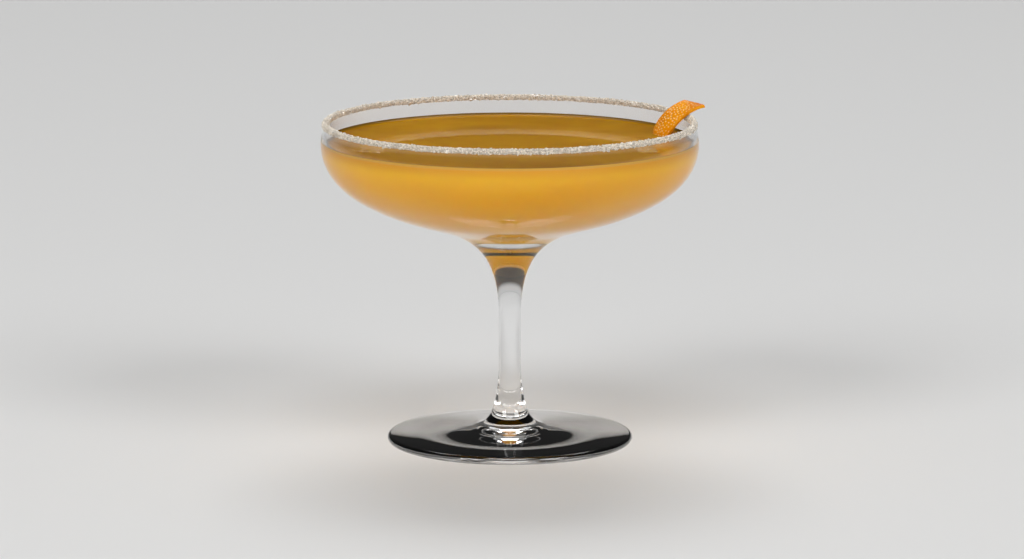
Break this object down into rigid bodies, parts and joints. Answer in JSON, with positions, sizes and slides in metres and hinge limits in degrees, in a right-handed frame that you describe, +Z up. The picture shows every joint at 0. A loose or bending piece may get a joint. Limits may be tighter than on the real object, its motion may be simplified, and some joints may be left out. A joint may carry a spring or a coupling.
{
  "type": "sidecar cocktail in a coupe glass",
  "caption": "Amber sidecar cocktail in a stemmed coupe glass with a sugared lip and a strip of orange peel laid over it.",
  "frame": {"origin": "centre of the foot's underside, on the surface that the glass stands on", "axes": "+Z up along the stem; the strip of peel crosses the lip near +X"},
  "size_m": [0.1061, 0.104, 0.0931],
  "materials": {
    "glass": "clear, polished",
    "drink": "cloudy amber liquid",
    "sugar": "granulated, glittering",
    "peel": "waxy, dimpled"
  },
  "bodies": {
    "root": {"coupe_glass": "glass", "drink": "drink", "sugar_rim": "sugar", "orange_twist": "peel"}
  },
  "joints": []
}
